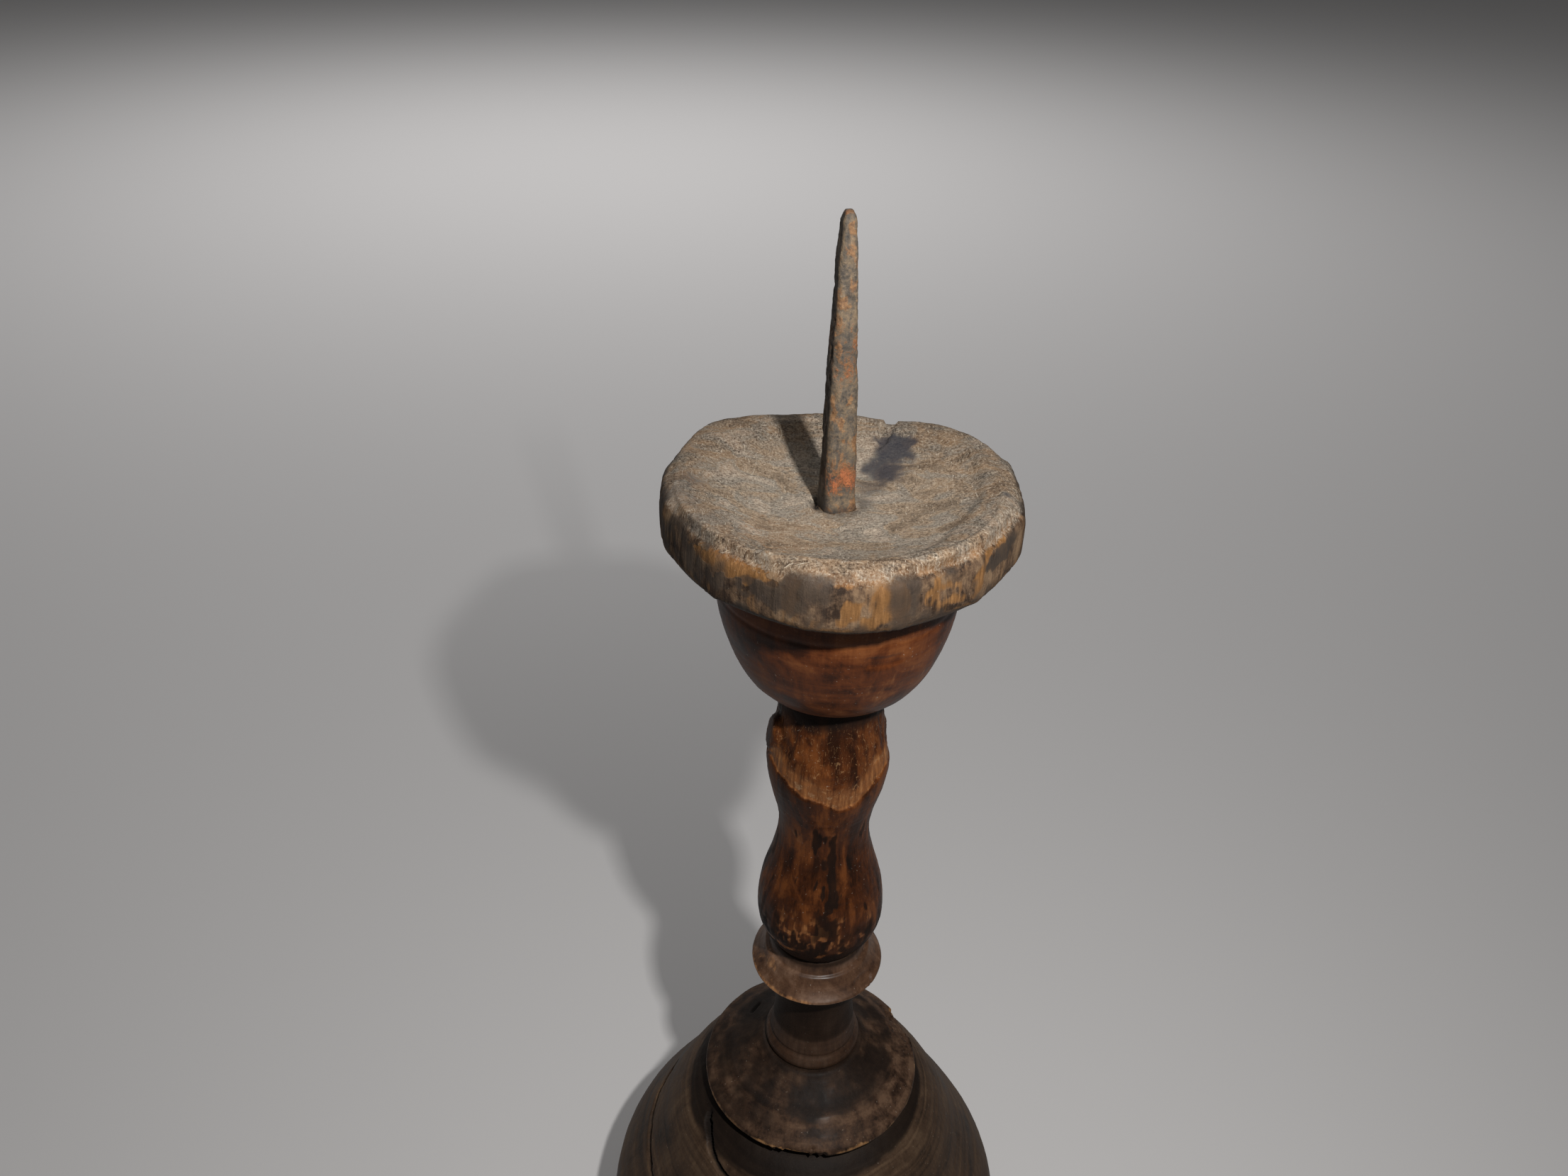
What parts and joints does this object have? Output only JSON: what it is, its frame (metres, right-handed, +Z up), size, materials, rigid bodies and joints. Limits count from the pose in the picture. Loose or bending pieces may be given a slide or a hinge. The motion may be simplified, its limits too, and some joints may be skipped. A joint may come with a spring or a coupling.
{
  "type": "pricket candlestick",
  "caption": "Turned wooden pricket candlestick: flared base, drum, knop, baluster stem and bell cup under a dished drip pan with an iron spike.",
  "frame": {"origin": "centre of the ring that the base stands on, at table level", "axes": "+Z up along the turning axis to the spike; -Y towards the side seen from the front; +X to its right"},
  "size_m": [0.083, 0.083, 0.2223],
  "materials": {
    "iron": "rusted, matt",
    "pan_wood": "weathered, dry end grain",
    "bell_wood": "old polish, satin",
    "stem_wood": "worn dark varnish over golden wood",
    "knop_wood": "dark polish, satin",
    "base_wood": "dark weathered stain",
    "wedge_wood": "raw, dusty"
  },
  "bodies": {
    "root": {"base_dome": "base_wood", "base_drum": "base_wood", "stem_knop": "knop_wood", "baluster_stem": "stem_wood", "tenon_wedge": "wedge_wood", "bell_cup": "bell_wood", "drip_pan": "pan_wood", "pricket_spike": "iron"}
  },
  "joints": []
}
